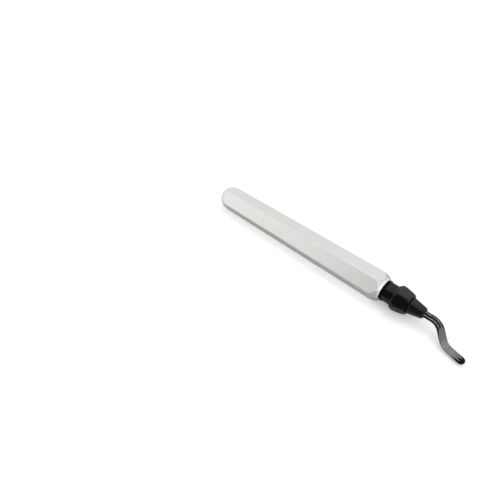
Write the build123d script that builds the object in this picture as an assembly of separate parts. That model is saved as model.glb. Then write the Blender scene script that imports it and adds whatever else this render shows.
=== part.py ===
from build123d import *
import os
from math import cos, radians, sin, sqrt

# Hand deburring tool: a hexagonal aluminium handle, a black quick-release chuck on its front end,
# and an S-shaped deburring blade that swivels freely in the chuck. All lengths are millimetres.
#
# Frame: the origin is the middle of the handle's lowest flat, the face that the tool lies on.
# +X runs along the tool towards the blade, +Z is up. Places along the tool are given as
# distances from the handle's front face, positive towards the blade.

# Handle: hexagonal bar with a domed rear end and a rounded shoulder at the front
ACROSS_FLATS = 13.0
HANDLE_LENGTH = 114.0
HANDLE_EDGE_RADIUS = 0.4
HANDLE_DOME_LENGTH = 10.5
HANDLE_DOME_POWER = 2.4
HANDLE_ENVELOPE_RADIUS = 7.55
SHOULDER_LENGTH = 4.2
SHOULDER_BEND = 1.25
SHOULDER_BEND_RADIUS = 6.45
HANDLE_FACE_RADIUS = 5.5
COUNTERSINK_RADIUS = 5.3
SEAT_RADIUS = 4.75
SEAT_DEPTH = 0.7

# Chuck body: plug and seat in the handle, flange in front of a relief, and the faceted neck that
# guides the collar
PLUG_RADIUS = 4.0
PLUG_LENGTH = 5.0
RELIEF_RADIUS = 4.65
RELIEF_END = 0.5
FLANGE_RADIUS = 5.25
FLANGE_END = 1.1
FLANGE_CHAMFER = 0.15
NECK_RADIUS = 4.85
NECK_ACROSS_FLATS = 9.1
NECK_END = 5.8
NECK_EDGE_RADIUS = 0.3
POCKET_RADIUS = 3.95
POCKET_FLOOR = 1.0

# Clamp washer under the spindle's shoulder, which also seats the spring
WASHER_RADIUS = 3.85
WASHER_HOLE_RADIUS = 2.55
WASHER_THICKNESS = 0.4

# Spindle: screwed into the handle, bored for the blade, cross-drilled for the locking balls
TAIL_RADIUS = 2.5
TAIL_END = -15.0
TAPPED_HOLE_END = -16.5
DRILL_POINT_LENGTH = 1.4
SPINDLE_RADIUS = 3.05
SPIGOT_START = 11.45
SPIGOT_RADIUS = 2.3
SPIGOT_END = 17.0
BLADE_BORE_RADIUS = 1.65
BLADE_BORE_FLOOR = -5.8
SPINDLE_CHAMFER = 0.3

# Locking balls
BALL_COUNT = 3
BALL_RADIUS = 1.0
BALL_PLACE = 8.9
BALL_CENTRE_RADIUS = 2.03
BALL_HOLE_RADIUS = 1.05
FIRST_BALL_ANGLE = 90.0

# Release collar: slides back 2.4 mm along the neck to let the balls move out
COLLAR_REAR = 5.2
COLLAR_REAR_RADIUS = 5.1
COLLAR_FRONT = 12.8
COLLAR_FRONT_RADIUS = 4.95
COLLAR_FRONT_CHAMFER = 0.3
COLLAR_FACE_RADIUS = 4.7
COLLAR_RADIUS = 6.27
COLLAR_RADIUS_PLACE = 7.05
COLLAR_SHOULDER_PLACE = 5.8
COLLAR_SHOULDER_RADIUS = 5.82
COLLAR_SHOULDER_DIRECTION = (0.3, 1)
COLLAR_TAPER_POINTS = [(9.0, 6.0), (11.5, 5.42)]
COLLAR_TAPER_DIRECTION = (1, -0.75)
COLLAR_FACET_APOTHEM = 6.07
COLLAR_FACET_TAPER = 10.5
COLLAR_EDGE_RADIUS = 0.3
COLLAR_GUIDE_CLEARANCE = 0.07
LAND_START = 8.3
LAND_RADIUS = 3.12
CAM_SLOPE = 0.25
CAM_END = 11.35
COLLAR_MOUTH_RADIUS = 4.18

# Collar spring between the clamp washer and the collar's land
SPRING_WIRE_RADIUS = 0.25
SPRING_MEAN_RADIUS = 3.5
SPRING_COILS = 5
SPRING_END_GAP = 0.03

# Nose cone, pressed on the spindle's spigot; its rear flange stops the collar
NOSE_FLANGE_RADIUS = 4.1
NOSE_FLANGE_END = 12.95
NOSE_CONE_START = 13.3
NOSE_CONE_RADIUS = 3.95
NOSE_CONE_END = 18.0
NOSE_TIP_RADIUS = 2.92
NOSE_END = 19.6
NOSE_MOUTH_RADIUS = 2.0
NOSE_TIP_DIRECTION = (1, -0.22)
NOSE_MOUTH_DIRECTION = (0.25, -1)
NOSE_FACET_APOTHEM = 3.68
NOSE_FACET_TAPER = 11.6
NOSE_EDGE_RADIUS = 0.25
NOSE_BORE_RADIUS = 1.67

# Blade: round high-speed steel rod bent to an S, with a flat ground along the bent part
BLADE_RADIUS = 1.6
SHANK_START = -5.75
SHANK_END = 20.5
SHANK_CHAMFER = 0.4
BALL_GROOVE_CLEARANCE = 0.06
RING_GROOVE_PLACE = 11.1 + SHANK_START
RING_GROOVE_WIDTH = 1.6
RING_GROOVE_RADIUS = 1.2
FIRST_CORNER = 25.8
FIRST_BEND_RADIUS = 7.0
CROSS_RUN = 9.8
CROSS_ANGLE = 48.0
SECOND_BEND_RADIUS = 6.3
TIP_RUN = 7.5
TIP_ANGLE = 10.5
BLADE_DROP_ANGLE = 34.2
GROUND_LEVEL = 0.05
GROUND_START = 2.7
GROUND_START_LEVEL = 1.15
GROUND_START_SKEW = 20.0
GROUND_RUN_IN = 6.0
GROUND_END = 6.6
GROUND_END_LEVEL = 1.2
GROUND_END_SKEW = 27.0
GROUND_RUN_OUT = 3.2
GROUND_OVERLAP = 1.5
GROUND_CUT_WIDTH = 14.0

MOUTH = HANDLE_LENGTH / 2
AXIS_HEIGHT = ACROSS_FLATS / 2
OUTSIDE = 20.0


def on_axis(shape):
    """Lift a shape that was made about the X axis onto the tool's axis."""
    return Pos(MOUTH, 0, AXIS_HEIGHT) * shape


def turned(*edges):
    """Solid of revolution about the tool's axis, from edges that close an outline of (place, radius)."""
    return on_axis(revolve(make_face(Curve() + list(edges)), Axis.X))


def turned_outline(*points):
    """Solid of revolution about the tool's axis, from the corners of its outline (place, radius)."""
    return turned(Polyline(*points, close=True))


def hexagon(across_flats, edge_radius=0.0):
    """Hexagon with flats facing up and down, its corners rounded if edge_radius is given."""
    sketch = RegularPolygon(across_flats / 2, 6, major_radius=False)
    if edge_radius:
        sketch = fillet(sketch.vertices(), edge_radius)
    return sketch


def hexagonal_bar(start, end, across_flats, edge_radius=0.0, taper=0.0):
    """Hexagonal bar along the tool's axis that narrows towards the blade by taper degrees a side."""
    section = Plane.YZ.offset(start) * hexagon(across_flats, edge_radius)
    return on_axis(extrude(section, end - start, taper=taper))


def round_facets(shape, edge_radius):
    """Round the edges of a turned shape's tapered facets, except those in its rear face."""
    rear_edges = shape.faces().sort_by(Axis.X)[0].edges()
    edges = ShapeList()
    for facet in shape.faces().filter_by(GeomType.BSPLINE):
        for edge in facet.edges():
            if edge not in edges and edge not in rear_edges:
                edges.append(edge)
    return fillet(edges, edge_radius)


def dome_points(length, radius, power, steps=9):
    """Points of a blunt dome (distance from its tip, radius), a superellipse of the given power."""
    points = []
    for step in range(steps + 1):
        angle = radians(90 * step / steps)
        along = length * (1 - cos(angle) ** (2 / power))
        points.append((along, radius * sin(angle) ** (2 / power)))
    return points


def handle():
    """Hexagonal bar, domed at the rear, shouldered at the front, bored and tapped for the chuck."""
    bar = hexagonal_bar(-HANDLE_LENGTH, 0, ACROSS_FLATS, HANDLE_EDGE_RADIUS)
    rear = -HANDLE_LENGTH
    points = dome_points(HANDLE_DOME_LENGTH, HANDLE_ENVELOPE_RADIUS, HANDLE_DOME_POWER)
    dome = Spline(*[(rear + along, radius) for along, radius in points], tangents=[(0, 1), (1, 0)])
    sides = Polyline(
        (rear + HANDLE_DOME_LENGTH, HANDLE_ENVELOPE_RADIUS),
        (-SHOULDER_LENGTH, HANDLE_ENVELOPE_RADIUS),
        (-SHOULDER_BEND, SHOULDER_BEND_RADIUS),
    )
    slope = (SHOULDER_LENGTH - SHOULDER_BEND, SHOULDER_BEND_RADIUS - HANDLE_ENVELOPE_RADIUS)
    lip = TangentArc((-SHOULDER_BEND, SHOULDER_BEND_RADIUS), (0, HANDLE_FACE_RADIUS), tangent=slope)
    middle = Polyline((0, HANDLE_FACE_RADIUS), (0, 0), (rear, 0))
    bore = turned_outline(
        (TAPPED_HOLE_END - DRILL_POINT_LENGTH, 0),
        (TAPPED_HOLE_END, TAIL_RADIUS),
        (-PLUG_LENGTH, TAIL_RADIUS),
        (-PLUG_LENGTH, PLUG_RADIUS),
        (-SEAT_DEPTH, PLUG_RADIUS),
        (-SEAT_DEPTH, SEAT_RADIUS),
        (0, COUNTERSINK_RADIUS),
        (OUTSIDE, COUNTERSINK_RADIUS),
        (OUTSIDE, 0),
    )
    return (bar & turned(dome, sides, lip, middle)) - bore


def chuck_body():
    """Black body: plug, flange and hexagonal neck, with the pocket that holds the spring."""
    plug_and_flange = turned_outline(
        (-PLUG_LENGTH, 0),
        (-PLUG_LENGTH, PLUG_RADIUS),
        (-SEAT_DEPTH, PLUG_RADIUS),
        (-SEAT_DEPTH, RELIEF_RADIUS),
        (RELIEF_END, RELIEF_RADIUS),
        (RELIEF_END, FLANGE_RADIUS - FLANGE_CHAMFER),
        (RELIEF_END + FLANGE_CHAMFER, FLANGE_RADIUS),
        (FLANGE_END - FLANGE_CHAMFER, FLANGE_RADIUS),
        (FLANGE_END, FLANGE_RADIUS - FLANGE_CHAMFER),
        (FLANGE_END, 0),
    )
    round_neck = turned_outline((0, 0), (0, NECK_RADIUS), (NECK_END, NECK_RADIUS), (NECK_END, 0))
    neck = round_neck & hexagonal_bar(0, NECK_END, NECK_ACROSS_FLATS)
    neck = fillet(neck.edges().filter_by(Axis.X), NECK_EDGE_RADIUS)
    hollow = turned_outline(
        (-OUTSIDE, 0),
        (-OUTSIDE, TAIL_RADIUS),
        (POCKET_FLOOR, TAIL_RADIUS),
        (POCKET_FLOOR, POCKET_RADIUS),
        (OUTSIDE, POCKET_RADIUS),
        (OUTSIDE, 0),
    )
    return (plug_and_flange + neck) - hollow


def clamp_washer():
    """Thin steel washer on the floor of the spring pocket."""
    top = POCKET_FLOOR + WASHER_THICKNESS
    return turned_outline(
        (POCKET_FLOOR, WASHER_HOLE_RADIUS),
        (POCKET_FLOOR, WASHER_RADIUS),
        (top, WASHER_RADIUS),
        (top, WASHER_HOLE_RADIUS),
    )


def ball_angles():
    """Directions of the locking balls round the axis, in degrees from +Y towards +Z."""
    return [FIRST_BALL_ANGLE + 360 * index / BALL_COUNT for index in range(BALL_COUNT)]


def outward(angle):
    """Unit vector across the tool that points away from its axis at an angle."""
    return Vector(0, cos(radians(angle)), sin(radians(angle)))


def spindle():
    """Steel spindle: tail, clamping shoulder, ball holes, nose spigot and the blade's bore."""
    shoulder = POCKET_FLOOR + WASHER_THICKNESS
    stem = turned_outline(
        (TAIL_END, 0),
        (TAIL_END, TAIL_RADIUS - SPINDLE_CHAMFER),
        (TAIL_END + SPINDLE_CHAMFER, TAIL_RADIUS),
        (shoulder, TAIL_RADIUS),
        (shoulder, SPINDLE_RADIUS),
        (SPIGOT_START, SPINDLE_RADIUS),
        (SPIGOT_START, SPIGOT_RADIUS),
        (SPIGOT_END - SPINDLE_CHAMFER, SPIGOT_RADIUS),
        (SPIGOT_END, SPIGOT_RADIUS - SPINDLE_CHAMFER),
        (SPIGOT_END, 0),
    )
    bore = turned_outline(
        (BLADE_BORE_FLOOR, 0),
        (BLADE_BORE_FLOOR, BLADE_BORE_RADIUS),
        (OUTSIDE, BLADE_BORE_RADIUS),
        (OUTSIDE, 0),
    )
    drilled = stem - bore
    for angle in ball_angles():
        hole_plane = Plane(origin=(BALL_PLACE, 0, 0), x_dir=(1, 0, 0), z_dir=outward(angle))
        drilled -= on_axis(extrude(hole_plane * Circle(BALL_HOLE_RADIUS), SPINDLE_RADIUS + 1))
    return drilled


def locking_ball(angle):
    """One steel ball in its radial hole, seated in the blade's groove."""
    centre = Vector(BALL_PLACE, 0, 0) + outward(angle) * BALL_CENTRE_RADIUS
    return on_axis(Pos(centre) * Sphere(BALL_RADIUS))


def collar_spring():
    """Compression spring between the clamp washer and the collar's land."""
    start = POCKET_FLOOR + WASHER_THICKNESS + SPRING_WIRE_RADIUS + SPRING_END_GAP
    length = LAND_START - SPRING_WIRE_RADIUS - SPRING_END_GAP - start
    coil = Helix(length / SPRING_COILS, length, SPRING_MEAN_RADIUS, center=(start, 0, 0), direction=(1, 0, 0))
    wire = Plane(origin=coil @ 0, z_dir=coil % 0) * Circle(SPRING_WIRE_RADIUS)
    return on_axis(sweep(wire, coil, is_frenet=True))


def release_collar():
    """Black faceted collar: skirt over the neck, land over the balls, cam cone and front mouth."""
    taper_end = COLLAR_FRONT - COLLAR_FRONT_CHAMFER
    shoulder = Spline(
        (COLLAR_REAR, COLLAR_REAR_RADIUS),
        (COLLAR_SHOULDER_PLACE, COLLAR_SHOULDER_RADIUS),
        (COLLAR_RADIUS_PLACE, COLLAR_RADIUS),
        tangents=[COLLAR_SHOULDER_DIRECTION, (1, 0)],
    )
    taper = Spline(
        (COLLAR_RADIUS_PLACE, COLLAR_RADIUS),
        *COLLAR_TAPER_POINTS,
        (taper_end, COLLAR_FRONT_RADIUS),
        tangents=[(1, 0), COLLAR_TAPER_DIRECTION],
    )
    ends = Polyline(
        (taper_end, COLLAR_FRONT_RADIUS),
        (COLLAR_FRONT, COLLAR_FACE_RADIUS),
        (COLLAR_FRONT, 0),
        (COLLAR_REAR, 0),
        (COLLAR_REAR, COLLAR_REAR_RADIUS),
    )
    facets = hexagonal_bar(
        COLLAR_REAR, COLLAR_FRONT, 2 * COLLAR_FACET_APOTHEM, taper=COLLAR_FACET_TAPER
    )
    outside = round_facets(turned(shoulder, taper, ends) & facets, COLLAR_EDGE_RADIUS)
    skirt_radius = NECK_RADIUS + COLLAR_GUIDE_CLEARANCE
    round_skirt = turned_outline((0, 0), (0, skirt_radius), (LAND_START, skirt_radius), (LAND_START, 0))
    skirt = round_skirt & hexagonal_bar(0, LAND_START, NECK_ACROSS_FLATS + 2 * COLLAR_GUIDE_CLEARANCE)
    land_and_mouth = turned_outline(
        (0, 0),
        (0, LAND_RADIUS),
        (BALL_PLACE, LAND_RADIUS),
        (CAM_END, LAND_RADIUS + CAM_SLOPE * (CAM_END - BALL_PLACE)),
        (CAM_END, COLLAR_MOUTH_RADIUS),
        (OUTSIDE, COLLAR_MOUTH_RADIUS),
        (OUTSIDE, 0),
    )
    return outside - skirt - land_and_mouth


def nose_cone():
    """Black faceted nose, pressed on the spigot, with the flange that stops the collar."""
    flange = turned_outline(
        (SPIGOT_START, 0),
        (SPIGOT_START, NOSE_FLANGE_RADIUS),
        (NOSE_FLANGE_END, NOSE_FLANGE_RADIUS),
        (NOSE_CONE_START, NOSE_CONE_RADIUS),
        (NOSE_CONE_START, 0),
    )
    cone = Polyline(
        (NOSE_END, 0),
        (NOSE_CONE_START, 0),
        (NOSE_CONE_START, NOSE_CONE_RADIUS),
        (NOSE_CONE_END, NOSE_TIP_RADIUS),
    )
    tip = Spline(
        (NOSE_CONE_END, NOSE_TIP_RADIUS),
        (NOSE_END, NOSE_MOUTH_RADIUS),
        tangents=[NOSE_TIP_DIRECTION, NOSE_MOUTH_DIRECTION],
    )
    facets = hexagonal_bar(NOSE_CONE_START, NOSE_END, 2 * NOSE_FACET_APOTHEM, taper=NOSE_FACET_TAPER)
    solid_cone = turned(cone, tip, Line((NOSE_END, NOSE_MOUTH_RADIUS), (NOSE_END, 0)))
    outside = flange + round_facets(solid_cone & facets, NOSE_EDGE_RADIUS)
    bore = turned_outline(
        (0, 0),
        (0, SPIGOT_RADIUS),
        (SPIGOT_END, SPIGOT_RADIUS),
        (SPIGOT_END, NOSE_BORE_RADIUS),
        (OUTSIDE, NOSE_BORE_RADIUS),
        (OUTSIDE, 0),
    )
    return outside - bore


def blade_plane():
    """Plane of the blade's S: x along the tool, -y towards the tip's side, z out of the ground flat."""
    drop = radians(BLADE_DROP_ANGLE)
    return Plane(origin=(MOUTH, 0, AXIS_HEIGHT), x_dir=(1, 0, 0), z_dir=(0, -sin(drop), cos(drop)))


def blade_corners():
    """Corners of the blade's centre line in its own plane: end of the shank, two bends, tip centre."""
    cross, tip = radians(CROSS_ANGLE), radians(TIP_ANGLE)
    second = (FIRST_CORNER + CROSS_RUN * cos(cross), -CROSS_RUN * sin(cross))
    end = (second[0] + TIP_RUN * cos(tip), second[1] - TIP_RUN * sin(tip))
    return [(SHANK_END, 0), (FIRST_CORNER, 0), second, end]


def shank():
    """Straight part of the blade: chamfered end, square ring groove and round ball groove."""
    ring_start = RING_GROOVE_PLACE - RING_GROOVE_WIDTH / 2
    ring_end = RING_GROOVE_PLACE + RING_GROOVE_WIDTH / 2
    groove_radius = BALL_RADIUS + BALL_GROOVE_CLEARANCE
    half_groove = sqrt(groove_radius**2 - (BALL_CENTRE_RADIUS - BLADE_RADIUS) ** 2)
    rear = Polyline(
        (SHANK_START, 0),
        (SHANK_START, BLADE_RADIUS - SHANK_CHAMFER),
        (SHANK_START + SHANK_CHAMFER, BLADE_RADIUS),
        (ring_start, BLADE_RADIUS),
        (ring_start, RING_GROOVE_RADIUS),
        (ring_end, RING_GROOVE_RADIUS),
        (ring_end, BLADE_RADIUS),
        (BALL_PLACE - half_groove, BLADE_RADIUS),
    )
    ball_groove = ThreePointArc(
        (BALL_PLACE - half_groove, BLADE_RADIUS),
        (BALL_PLACE, BALL_CENTRE_RADIUS - groove_radius),
        (BALL_PLACE + half_groove, BLADE_RADIUS),
    )
    front = Polyline(
        (BALL_PLACE + half_groove, BLADE_RADIUS),
        (SHANK_END, BLADE_RADIUS),
        (SHANK_END, 0),
        (SHANK_START, 0),
    )
    return revolve(make_face(Curve() + [rear, ball_groove, front]), Axis.X)


def ground_cut(corner, angle, flat_start, run_out, wall, wall_foot, skew):
    """Cutter for the ground flat along one run of the rod, which leaves a corner at an angle.

    The flat begins at flat_start. Over the last run_out before the wall it climbs in a curve to the
    height wall_foot. The wall stands across the rod, turned from square by skew degrees.
    """
    direction = 1 if wall > flat_start else -1
    flat_end = wall - direction * run_out
    top = 2 * BLADE_RADIUS
    floor = Polyline(
        (flat_end, GROUND_LEVEL),
        (flat_start, GROUND_LEVEL),
        (flat_start, top),
        (wall, top),
        (wall, wall_foot),
    )
    climb = TangentArc((flat_end, GROUND_LEVEL), (wall, wall_foot), tangent=(direction, 0))
    side = Plane(origin=(0, GROUND_CUT_WIDTH / 2, 0), x_dir=(1, 0, 0), z_dir=(0, -1, 0))
    cutter = extrude(side * make_face(Curve() + [floor, climb]), GROUND_CUT_WIDTH)
    turned_cutter = Pos(wall, 0, 0) * Rot(0, 0, -skew) * Pos(-wall, 0, 0) * cutter
    return Pos(*corner) * Rot(0, 0, -angle) * turned_cutter


def blade():
    """Swivelling blade: grooved shank, two bends, ground flat and round tip."""
    shank_end, first, second, tip = blade_corners()
    path = FilletPolyline(shank_end, first, second, tip, radius=[FIRST_BEND_RADIUS, SECOND_BEND_RADIUS])
    rod = sweep(Plane(origin=path @ 0, z_dir=path % 0) * Circle(BLADE_RADIUS), path)
    rod = shank() + rod + Pos(*tip) * Sphere(BLADE_RADIUS)
    rod -= ground_cut(
        corner=first,
        angle=CROSS_ANGLE,
        flat_start=CROSS_RUN + GROUND_OVERLAP,
        run_out=GROUND_RUN_IN,
        wall=GROUND_START,
        wall_foot=GROUND_START_LEVEL,
        skew=GROUND_START_SKEW,
    )
    rod -= ground_cut(
        corner=second,
        angle=TIP_ANGLE,
        flat_start=-GROUND_OVERLAP,
        run_out=GROUND_RUN_OUT,
        wall=GROUND_END,
        wall_foot=GROUND_END_LEVEL,
        skew=GROUND_END_SKEW,
    )
    return blade_plane() * rod


def all_nodes():
    """Every sub-part by name, in its place."""
    nodes = {
        "handle": handle(),
        "chuck_body": chuck_body(),
        "clamp_washer": clamp_washer(),
        "spindle": spindle(),
        "collar_spring": collar_spring(),
        "release_collar": release_collar(),
        "nose_cone": nose_cone(),
        "blade": blade(),
    }
    for number, angle in enumerate(ball_angles(), start=1):
        nodes[f"locking_ball_{number}"] = locking_ball(angle)
    return nodes


os.makedirs("parts", exist_ok=True)
for name, shape in all_nodes().items():
    export_step(shape, f"parts/{name}.step")
    print(name, round(shape.volume, 3))
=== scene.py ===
from math import cos, pi, radians, sin

import bpy
from mathutils import Matrix, Quaternion, Vector


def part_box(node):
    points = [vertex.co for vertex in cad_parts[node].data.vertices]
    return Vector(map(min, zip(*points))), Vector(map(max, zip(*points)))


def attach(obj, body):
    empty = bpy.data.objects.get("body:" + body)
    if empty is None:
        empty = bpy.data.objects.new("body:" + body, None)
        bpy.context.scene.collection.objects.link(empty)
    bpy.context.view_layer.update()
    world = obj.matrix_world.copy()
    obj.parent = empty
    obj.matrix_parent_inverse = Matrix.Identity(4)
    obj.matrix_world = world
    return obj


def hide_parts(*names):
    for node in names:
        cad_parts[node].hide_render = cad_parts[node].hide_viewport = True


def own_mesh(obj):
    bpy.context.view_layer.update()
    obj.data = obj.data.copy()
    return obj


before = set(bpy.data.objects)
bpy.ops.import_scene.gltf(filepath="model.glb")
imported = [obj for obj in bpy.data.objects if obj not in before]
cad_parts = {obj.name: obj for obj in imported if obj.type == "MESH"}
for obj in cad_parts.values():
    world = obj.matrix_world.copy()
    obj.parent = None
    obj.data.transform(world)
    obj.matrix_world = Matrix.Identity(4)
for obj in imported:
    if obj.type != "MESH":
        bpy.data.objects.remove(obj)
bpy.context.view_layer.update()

# Deburring tool. Everything is in metres, in the CAD frame: +X along the tool towards the blade,
# +Z up, the origin in the middle of the handle's lowest flat.

MM = 0.001

# Camera: where it stands, which way it looks and its lens, on a 36 mm wide sensor
CAMERA_PLACE = (0.10035, -0.12694, 0.12607)
CAMERA_PITCH = 39.28
CAMERA_YAW = 136.56
CAMERA_ROLL = 0.95
LENS_MM = 26.18

# Tool geometry that the materials and the spring follow, from the frame
handle_low, handle_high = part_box("handle")
MOUTH = handle_high.x
AXIS_HEIGHT = (handle_low.z + handle_high.z) / 2

# Chuck: its pieces, and how far ahead of the handle its flange and its collar's rim lie. The
# flange and a narrow band round the rim are painted shade: blacker than the rest, for the shadow
# gaps at the handle's mouth and at the collar's front step.
CHUCK_NODES = ["chuck_body", "release_collar", "nose_cone"]
FLANGE_END = 1.1 * MM
COLLAR_RIM = 12.8 * MM
RIM_BAND_HALF = 0.3 * MM
BAND_BLUR = 0.05 * MM
RIM_BLUR = 0.04 * MM

# Blade: its rod, the tilt of its plane, the angle of the run between its two bends, and where its
# ground flat starts. The rest are distances ahead of the handle: where the nose ends, where the
# second grinding pass starts and darkens, and where the flat gives way to the tip.
BLADE_RADIUS = 1.6 * MM
NOSE_OUTLET = (21 * MM, 22 * MM)
SECOND_PASS = (30.4 * MM, 31.2 * MM)
SECOND_PASS_DARKENS = (34 * MM, 38 * MM)
FLAT_GIVES_WAY = (38 * MM, 39.5 * MM)
FIRST_CORNER_AHEAD = 25.8 * MM
GROUND_START_AHEAD = 2.7 * MM
BLADE_DROP = radians(34.2)
CROSS_ANGLE = radians(48)
BLADE_UP = Vector((0, -sin(BLADE_DROP), cos(BLADE_DROP)))
BLADE_SIDE = Vector((0, cos(BLADE_DROP), sin(BLADE_DROP)))
GROUND_RUN = Vector((cos(CROSS_ANGLE), 0, 0)) - BLADE_SIDE * sin(CROSS_ANGLE)
GROUND_ACROSS = Vector((sin(CROSS_ANGLE), 0, 0)) + BLADE_SIDE * cos(CROSS_ANGLE)
FIRST_CORNER = Vector((MOUTH + FIRST_CORNER_AHEAD, 0, AXIS_HEIGHT))
GROUND_START = FIRST_CORNER + GROUND_RUN * GROUND_START_AHEAD

# Wedge of black skin along the flat's edge: where its edge starts across the run, and its slope
SKIN_EDGE_START = -0.70 * MM
SKIN_EDGE_SLOPE = -0.16

# Light tent: its mean brightness and how it rises towards the blade's end, the front and the top,
# and the wide dark opening at the front, with its direction, its stretch, how far from its middle
# it starts and is complete, and its brightness
TENT_LEVEL = 1.09
TENT_SLOPE = (0.06, -0.28, 0.12)
OPENING_DIRECTION = (-0.04, -0.96, 0.275)
OPENING_STRETCH = (2.6, 1.0, 3.5)
OPENING_EDGE = (1.3, 0.6)
OPENING_LEVEL = 0.0

# Stage: its size, how pale the table, the backdrop and the grey sheet are, and the sheet's depth.
# The grey sheet is painted shade: a darker floor the tool mirrors in place of the table's shade.
STAGE_HALF = 3.0
TABLE_LEVEL = 0.85
TABLE_GLOW = 0.30
BACKDROP_GLOW = 0.55
SHADE_SHEET_LEVEL = 0.60
SHEET_DEPTH = 0.2 * MM
LAMP_TARGET = (0.04, 0, AXIS_HEIGHT)

# Collar spring: its wire, its working turns and its closed end turns
SPRING_WIRE_RADIUS = 0.25 * MM
SPRING_TURNS = 5.0
SPRING_END_TURNS = 0.9


# ---------------------------------------------------------------- node helpers

class Nodes:
    """Short way to write a node tree: it makes nodes, sets their inputs and links them."""

    def __init__(self, owner, output="OutputMaterial"):
        owner.use_nodes = True
        self.owner = owner
        self.tree = owner.node_tree
        self.tree.nodes.clear()
        self.output = self.add(output)

    def add(self, kind, settings=None, **inputs):
        """A node of a kind, with its properties from settings and its sockets by name."""
        node = self.tree.nodes.new("ShaderNode" + kind)
        for key, value in (settings or {}).items():
            setattr(node, key, value)
        for key, value in inputs.items():
            self.feed(node, key.replace("_", " "), value)
        return node

    def feed(self, node, key, value):
        """Set a socket to a plain value or link another node's socket to it."""
        socket = node.inputs[int(key)] if key.isdigit() else node.inputs[key]
        if isinstance(value, bpy.types.NodeSocket):
            self.tree.links.new(value, socket)
        else:
            socket.default_value = value

    def math(self, operation, first, second=0.0, third=0.0, clamp=False):
        """Result of a Math node."""
        node = self.tree.nodes.new("ShaderNodeMath")
        node.operation = operation
        node.use_clamp = clamp
        for index, value in enumerate((first, second, third)):
            self.feed(node, str(index), value)
        return node.outputs[0]

    def vector_math(self, operation, first, second, output="Vector"):
        """Result of a Vector Math node."""
        node = self.add("VectorMath", {"operation": operation})
        self.feed(node, "0", first)
        self.feed(node, "1", second)
        return node.outputs[output]

    def dot(self, vector, direction):
        """Dot product of a vector socket with a fixed direction or another socket."""
        return self.vector_math("DOT_PRODUCT", vector, direction, "Value")

    def scaled(self, vector, scale, rotation=(0, 0, 0)):
        """Vector socket turned and scaled by a Mapping node."""
        node = self.add("Mapping", Vector=vector, Scale=scale, Rotation=rotation)
        return node.outputs[0]

    def noise(self, vector, scale, detail=2.0, roughness=0.5):
        """Noise between 0 and 1 over a vector socket."""
        node = self.add(
            "TexNoise", Vector=vector, Scale=scale, Detail=detail, Roughness=roughness
        )
        return node.outputs["Fac"]

    def remap(self, value, low, high, new_low=0.0, new_high=1.0):
        """Value moved from one range to another and held inside it."""
        node = self.tree.nodes.new("ShaderNodeMapRange")
        for index, part in enumerate((value, low, high, new_low, new_high)):
            self.feed(node, str(index), part)
        return node.outputs[0]

    def mix(self, factor, first, second):
        """Colour mixed between two colours."""
        node = self.tree.nodes.new("ShaderNodeMix")
        node.data_type = "RGBA"
        self.feed(node, "0", factor)
        self.feed(node, "6", first)
        self.feed(node, "7", second)
        return node.outputs[2]

    def blend(self, factor, first, second):
        """Value mixed between two values."""
        node = self.tree.nodes.new("ShaderNodeMix")
        self.feed(node, "0", factor)
        self.feed(node, "2", first)
        self.feed(node, "3", second)
        return node.outputs[0]

    def edges(self, radius):
        """1 near the part's sharp edges and 0 elsewhere."""
        rounded = self.add("Bevel", {"samples": 6}, Radius=radius).outputs[0]
        plain = self.add("NewGeometry").outputs["Normal"]
        return self.remap(self.dot(rounded, plain), 0.998, 0.96)

    def finish(self, **inputs):
        """Close the tree with a Principled shader and return the material."""
        shader = self.add("BsdfPrincipled", **inputs)
        self.tree.links.new(shader.outputs[0], self.output.inputs[0])
        return self.owner


def paint(names, material):
    """Give CAD nodes a material."""
    for name in names:
        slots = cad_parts[name].data.materials
        slots.clear()
        slots.append(material)


# ---------------------------------------------------------------- materials

def grey(level, warmth=0.0):
    """Grey colour, a little warmer or, below zero, cooler."""
    return (level * (1 + warmth), level, level * (1 - warmth), 1)


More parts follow.
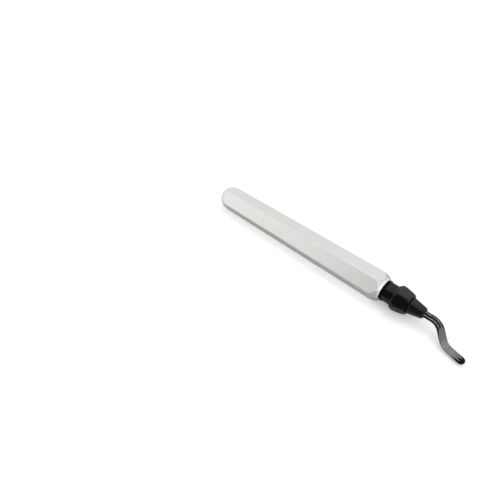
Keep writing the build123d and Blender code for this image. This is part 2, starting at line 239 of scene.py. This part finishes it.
def handle_aluminium():
    """Satin anodised aluminium bar with a turned, polished front shoulder.

    The bar is faintly bead-blasted over its drawing lines, with handling marks, a few fine
    scratches and rubbed edges. The shoulder has turning rings.
    """
    n = Nodes(bpy.data.materials.new("handle_aluminium"))
    coordinates = n.add("TexCoord")
    place = coordinates.outputs["Object"]
    forward = n.dot(coordinates.outputs["Normal"], (1, 0, 0))
    turned = n.remap(forward, 0.10, 0.24)
    grain = n.noise(n.scaled(place, (90, 5200, 5200)), 1.0, 3.0)
    blast = n.noise(place, 7500.0, 2.0)
    rings = n.noise(n.scaled(place, (16000, 90, 90)), 1.0, 2.0)
    clouds = n.noise(place, 55.0, 3.0)
    smudges = n.remap(n.noise(place, 260.0, 4.0, 0.6), 0.48, 0.72)
    scratch_lines = n.scaled(place, (260, 5200, 2600), (0.1, 0.25, 0.5))
    scratches = n.remap(n.noise(scratch_lines, 1.0, 0.0), 0.70, 0.76)
    edge = n.edges(0.5 * MM)
    worn = n.math("MULTIPLY", edge, n.math("MULTIPLY_ADD", smudges, 0.5, 0.35), clamp=True)
    tone = n.remap(n.math("MULTIPLY_ADD", grain, 0.45, clouds), 0.35, 1.1)
    satin = n.mix(tone, (0.855, 0.860, 0.832, 1), (0.905, 0.910, 0.885, 1))
    satin = n.mix(n.math("MULTIPLY", smudges, 0.35), satin, grey(0.82, 0.01))
    satin = n.mix(n.math("MAXIMUM", worn, n.math("MULTIPLY", scratches, 0.5)), satin, grey(0.90))
    lip = n.remap(forward, 0.42, 0.60)
    # Shoulder cone: its turning rings are real, and its grey, darker than the bar's, is painted
    # shade
    cone = n.mix(rings, grey(0.62), grey(0.76))
    polished = n.mix(lip, cone, grey(0.98))
    colour = n.mix(turned, satin, polished)
    satin_roughness = n.math("MULTIPLY_ADD", blast, 0.12, 0.33)
    satin_roughness = n.math("MULTIPLY_ADD", smudges, 0.08, satin_roughness)
    satin_roughness = n.math("MULTIPLY_ADD", worn, -0.08, satin_roughness)
    ring_roughness = n.math("MULTIPLY_ADD", rings, 0.10, 0.14)
    height = n.math("MULTIPLY_ADD", grain, 0.5, blast)
    height = n.blend(turned, height, n.math("MULTIPLY", rings, 1.6))
    bump = n.add("Bump", Strength=0.10, Distance=0.02 * MM, Height=height)
    return n.finish(
        Base_Color=colour,
        Metallic=1.0,
        Roughness=n.blend(turned, satin_roughness, ring_roughness),
        Normal=bump.outputs[0],
    )


def chuck_black():
    """Black moulded plastic with a fine spark-eroded skin and slightly rubbed edges.

    The flange and the collar's front rim step are painted shade, black lines that hardly reflect.
    """
    n = Nodes(bpy.data.materials.new("chuck_black"))
    place = n.add("TexCoord").outputs["Object"]
    skin = n.noise(place, 5200.0, 3.0, 0.6)
    clouds = n.noise(place, 420.0, 3.0)
    dust = n.remap(n.noise(place, 2600.0, 1.0), 0.70, 0.80)
    edge = n.math("MULTIPLY", n.edges(0.22 * MM), n.remap(clouds, 0.35, 0.7, 0.25, 0.9))
    colour = n.mix(clouds, (0.0018, 0.0030, 0.0028, 1), (0.0046, 0.0062, 0.0058, 1))
    colour = n.mix(n.math("MULTIPLY", dust, 0.25), colour, (0.02, 0.02, 0.02, 1))
    colour = n.mix(edge, colour, (0.020, 0.022, 0.021, 1))
    # Painted shade: the flange and a band round the collar's front rim turn black and hardly
    # reflect
    ahead = n.math("SUBTRACT", n.dot(place, (1, 0, 0)), MOUTH)
    flange = n.remap(ahead, FLANGE_END + BAND_BLUR, FLANGE_END - BAND_BLUR)
    from_rim = n.math("ABSOLUTE", n.math("SUBTRACT", ahead, COLLAR_RIM))
    rim = n.remap(from_rim, RIM_BAND_HALF + RIM_BLUR, RIM_BAND_HALF - RIM_BLUR)
    painted_shade = n.math("MAXIMUM", flange, rim)
    colour = n.mix(painted_shade, colour, grey(0.006))
    roughness = n.math("MULTIPLY_ADD", clouds, 0.10, 0.14)
    roughness = n.math("MULTIPLY_ADD", edge, -0.06, roughness)
    bump = n.add("Bump", Strength=0.22, Distance=0.02 * MM, Height=skin)
    return n.finish(
        Base_Color=colour,
        Metallic=painted_shade,
        Roughness=roughness,
        Specular_IOR_Level=0.32,
        Normal=bump.outputs[0],
    )


def steel(name, level, roughness):
    """Bright steel with turning marks round the tool's axis."""
    n = Nodes(bpy.data.materials.new(name))
    place = n.add("TexCoord").outputs["Object"]
    marks = n.noise(n.scaled(place, (9000, 300, 300)), 1.0, 2.0)
    clouds = n.noise(place, 300.0, 3.0)
    base = n.mix(clouds, grey(0.8 * level, -0.01), grey(level, -0.01))
    rough = n.math("MULTIPLY_ADD", marks, 0.15, roughness)
    bump = n.add("Bump", Strength=0.1, Distance=0.01 * MM, Height=marks)
    return n.finish(Base_Color=base, Metallic=1.0, Roughness=rough, Normal=bump.outputs[0])


def blade_steel():
    """Black-oxide rod with a bright ground flat.

    On the untouched rod the height above the blade's plane equals the radius times the surface
    normal's share along the plane's normal. Where the surface lies lower than that it was ground.
    The flat has grinding lines across it, finer streaks along it, and a darker first pass, which
    left a wedge of the black skin along its edge.
    """
    n = Nodes(bpy.data.materials.new("blade_steel"))
    coordinates = n.add("TexCoord")
    place = coordinates.outputs["Object"]
    normal = coordinates.outputs["Normal"]
    origin = Vector((MOUTH, 0, AXIS_HEIGHT))
    height = n.math("SUBTRACT", n.dot(place, BLADE_UP), BLADE_UP.dot(origin))
    expected = n.math("MULTIPLY", n.dot(normal, BLADE_UP), BLADE_RADIUS)
    lower = n.math("SUBTRACT", expected, height)
    forward = n.math("SUBTRACT", n.dot(place, (1, 0, 0)), MOUTH)
    past_nose = n.remap(forward, *NOSE_OUTLET)
    ground = n.math("MULTIPLY", n.remap(lower, 0.08 * MM, 0.16 * MM), past_nose)

    along = n.math("SUBTRACT", n.dot(place, GROUND_RUN), GROUND_RUN.dot(GROUND_START))
    across = n.math("SUBTRACT", n.dot(place, GROUND_ACROSS), GROUND_ACROSS.dot(GROUND_START))
    skin_edge = n.math("MULTIPLY_ADD", along, SKIN_EDGE_SLOPE, SKIN_EDGE_START)
    past_skin = n.math("SUBTRACT", across, skin_edge)
    ground = n.math("MULTIPLY", ground, n.remap(past_skin, -0.06 * MM, 0.06 * MM))
    line_place = n.add("CombineXYZ", X=along, Y=across).outputs[0]
    lines = n.noise(n.scaled(line_place, (6500, 700, 1), (0, 0, 0.35)), 1.0, 2.0)
    streaks = n.noise(n.scaled(line_place, (420, 3600, 1), (0, 0, -0.2)), 1.0, 3.0)
    second_pass = n.remap(forward, *SECOND_PASS)
    tone = n.remap(n.math("MULTIPLY_ADD", lines, 0.6, streaks), 0.55, 1.05)
    rough_cut = n.mix(tone, (0.090, 0.093, 0.083, 1), (0.142, 0.145, 0.131, 1))
    fine_cut = n.mix(tone, (0.090, 0.089, 0.085, 1), (0.232, 0.230, 0.221, 1))
    bright = n.mix(second_pass, rough_cut, fine_cut)
    darkens = n.remap(forward, *SECOND_PASS_DARKENS, 0, 0.35)
    bright = n.mix(darkens, bright, (0.12, 0.115, 0.11, 1))

    clouds = n.remap(n.noise(place, 1100.0, 3.0), 0.35, 0.65)
    skin = n.noise(n.scaled(place, (1500, 6000, 6000)), 1.0, 3.0)
    rubbed = n.math("MULTIPLY", n.edges(0.25 * MM), n.math("SUBTRACT", 1.0, ground))
    oxide = n.mix(clouds, (0.010, 0.010, 0.011, 1), (0.038, 0.038, 0.040, 1))
    # Painted shade: past the flat, towards the tip, the oxide is darkened to near black
    past_flat = n.remap(forward, *FLAT_GIVES_WAY)
    oxide = n.mix(n.math("MULTIPLY", past_flat, 0.75), oxide, grey(0.006))
    oxide = n.mix(n.math("MULTIPLY", rubbed, 0.4), oxide, (0.16, 0.16, 0.16, 1))
    colour = n.mix(ground, oxide, bright)
    rough_oxide = n.math("MULTIPLY_ADD", skin, 0.12, 0.05)
    rough_bright = n.math("MULTIPLY_ADD", lines, 0.2, 0.30)
    relief = n.blend(ground, n.math("MULTIPLY", skin, 0.7), n.math("ADD", lines, streaks))
    bump = n.add("Bump", Strength=0.16, Distance=0.015 * MM, Height=relief)
    return n.finish(
        Base_Color=colour,
        Metallic=1.0,
        Roughness=n.blend(ground, rough_oxide, rough_bright),
        Normal=bump.outputs[0],
    )


# ---------------------------------------------------------------- collar spring

def coil_spring(material):
    """Coil spring with closed ends, in place of the plain one."""
    low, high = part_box("collar_spring")
    radius = (high.z - low.z) / 2 - SPRING_WIRE_RADIUS
    start = low.x + SPRING_WIRE_RADIUS
    length = high.x - low.x - 2 * SPRING_WIRE_RADIUS
    closed_rise = 2 * SPRING_WIRE_RADIUS * SPRING_END_TURNS
    turns = SPRING_TURNS + 2 * SPRING_END_TURNS
    steps = int(turns * 40)
    ring_steps = 12
    verts, faces = [], []
    for step in range(steps + 1):
        turn = turns * step / steps
        from_end = min(turn, turns - turn)
        if from_end < SPRING_END_TURNS:
            rise = closed_rise * from_end / SPRING_END_TURNS
            place = rise if turn < turns / 2 else length - rise
        else:
            share = (turn - SPRING_END_TURNS) / SPRING_TURNS
            place = closed_rise + (length - 2 * closed_rise) * share
        angle = 2 * pi * turn
        outward = Vector((0, cos(angle), sin(angle)))
        centre = Vector((start + place, 0, AXIS_HEIGHT)) + outward * radius
        for ring_step in range(ring_steps):
            ring_angle = 2 * pi * ring_step / ring_steps
            offset = outward * cos(ring_angle) + Vector((1, 0, 0)) * sin(ring_angle)
            verts.append(centre + offset * SPRING_WIRE_RADIUS)
    for step in range(steps):
        for side in range(ring_steps):
            first = step * ring_steps + side
            second = step * ring_steps + (side + 1) % ring_steps
            faces.append((first, second, second + ring_steps, first + ring_steps))
    faces.append(tuple(reversed(range(ring_steps))))
    faces.append(tuple(range(steps * ring_steps, (steps + 1) * ring_steps)))
    mesh = bpy.data.meshes.new("coil_spring")
    mesh.from_pydata(verts, [], faces)
    mesh.polygons.foreach_set("use_smooth", [len(face) == 4 for face in faces])
    mesh.materials.append(material)
    spring = bpy.data.objects.new("coil_spring", mesh)
    bpy.context.scene.collection.objects.link(spring)
    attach(spring, "holder")
    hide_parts("collar_spring")
    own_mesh(spring)


# ---------------------------------------------------------------- stage

def camera():
    """Camera at the photograph's viewing angle."""
    pitch, yaw, roll = radians(CAMERA_PITCH), radians(CAMERA_YAW), radians(CAMERA_ROLL)
    forward = Vector((cos(yaw) * cos(pitch), sin(yaw) * cos(pitch), -sin(pitch)))
    level = Vector((sin(yaw), -cos(yaw), 0))
    upright = level.cross(forward)
    right = level * cos(roll) + upright * sin(roll)
    up = upright * cos(roll) - level * sin(roll)
    data = bpy.data.cameras.new("camera")
    data.lens = LENS_MM
    data.sensor_width = 36
    data.clip_start = 0.005
    eye = bpy.data.objects.new("camera", data)
    axes = Matrix((right, up, -forward)).transposed()
    eye.matrix_world = Matrix.Translation(CAMERA_PLACE) @ axes.to_4x4()
    bpy.context.scene.collection.objects.link(eye)
    bpy.context.scene.camera = eye


def softbox(name, place, size, power, roll=0.0, lit=()):
    """Rectangular soft light that points at the tool, for some CAD nodes only if lit names them."""
    data = bpy.data.lights.new(name, "AREA")
    data.shape = "RECTANGLE"
    data.size, data.size_y = size
    data.energy = power
    lamp = bpy.data.objects.new(name, data)
    direction = Vector(LAMP_TARGET) - Vector(place)
    turn = Quaternion((0, 0, 1), radians(roll))
    lamp.location = place
    lamp.rotation_mode = "QUATERNION"
    lamp.rotation_quaternion = direction.to_track_quat("-Z", "Y") @ turn
    lamp.visible_camera = False
    bpy.context.scene.collection.objects.link(lamp)
    if lit:
        group = bpy.data.collections.new(name)
        for node in lit:
            group.objects.link(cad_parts[node])
        lamp.light_linking.receiver_collection = group


def tent():
    """White light tent round the tool, with a dark opening at the front."""
    world = bpy.data.worlds.new("tent")
    n = Nodes(world, "OutputWorld")
    direction = n.add("TexCoord").outputs["Generated"]
    wall = n.math("ADD", n.dot(direction, TENT_SLOPE), TENT_LEVEL)
    aside = n.vector_math("SUBTRACT", direction, OPENING_DIRECTION)
    aside = n.vector_math("MULTIPLY", aside, OPENING_STRETCH)
    opening = n.remap(n.dot(aside, aside), *OPENING_EDGE)
    background = n.add("Background", Strength=n.blend(opening, wall, OPENING_LEVEL))
    n.tree.links.new(background.outputs[0], n.output.inputs[0])
    return world


def lights():
    """The tent, a lamp above, fills for the handle and chuck, and strips that line the rod."""
    scene = bpy.context.scene
    scene.world = tent()
    scene.view_settings.view_transform = "Standard"
    softbox("top_lamp", (0.05, 0.20, 0.80), (0.20, 0.15), 0.5)
    softbox("handle_fill", (-0.20, -0.84, 0.25), (0.35, 0.30), 0.16, lit=["handle"])
    softbox("chuck_fill", (0.04, 0.67, 0.61), (0.26, 0.20), 0.12, lit=CHUCK_NODES)
    softbox("rod_line_above", (0.21, 0.23, 0.80), (0.70, 0.10), 9.0, lit=["blade"])
    softbox("rod_line_front", (-0.25, -0.81, 0.24), (0.60, 0.07), 7.5, roll=-30, lit=["blade"])


def stage_piece(name, corners, faces, level, glow):
    """Large plain matt piece of the stage."""
    mesh = bpy.data.meshes.new(name)
    mesh.from_pydata(corners, [], faces)
    piece = bpy.data.objects.new(name, mesh)
    bpy.context.scene.collection.objects.link(piece)
    n = Nodes(bpy.data.materials.new(name))
    tone = n.noise(n.add("TexCoord").outputs["Object"], 8.0)
    colour = n.mix(tone, grey(level - 0.01), grey(level + 0.01))
    emission = {"Emission_Color": (1, 1, 1, 1), "Emission_Strength": glow}
    mesh.materials.append(n.finish(Base_Color=colour, Roughness=0.8, **emission))
    return piece


def stage():
    """White table and backdrop, which only the camera sees, and a painted-shade grey sheet the tool
    mirrors.
    """
    square = [(-1, -1), (1, -1), (1, 1), (-1, 1)]
    square = [(STAGE_HALF * x, STAGE_HALF * y) for x, y in square]
    ground = [(x, y, 0) for x, y in square]
    ceiling = [(x, y, STAGE_HALF) for x, y in square]
    walls = [(0, 1, 5, 4), (1, 2, 6, 5), (2, 3, 7, 6), (3, 0, 4, 7), (4, 5, 6, 7)]
    table = stage_piece("table", ground, [(0, 1, 2, 3)], TABLE_LEVEL, TABLE_GLOW)
    backdrop = stage_piece("backdrop", ground + ceiling, walls, TABLE_LEVEL, BACKDROP_GLOW)
    for piece in (table, backdrop):
        piece.visible_glossy = False
        piece.visible_diffuse = False
        piece.visible_shadow = False
    # Painted shade: a grey sheet just under the table, unseen by the camera, that the tool mirrors
    # and takes bounce light from in place of the shaded table round it
    below = [(x, y, -SHEET_DEPTH) for x, y in square]
    sheet = stage_piece("shade_sheet", below, [(0, 1, 2, 3)], SHADE_SHEET_LEVEL, 0.0)
    sheet.visible_camera = False


camera()
lights()
stage()
paint(["handle"], handle_aluminium())
paint(CHUCK_NODES, chuck_black())
balls = [f"locking_ball_{number}" for number in (1, 2, 3)]
paint(["spindle", "clamp_washer"] + balls, steel("bright_steel", 0.62, 0.25))
spring_steel = steel("spring_steel", 0.45, 0.22)
paint(["collar_spring"], spring_steel)
paint(["blade"], blade_steel())
coil_spring(spring_steel)
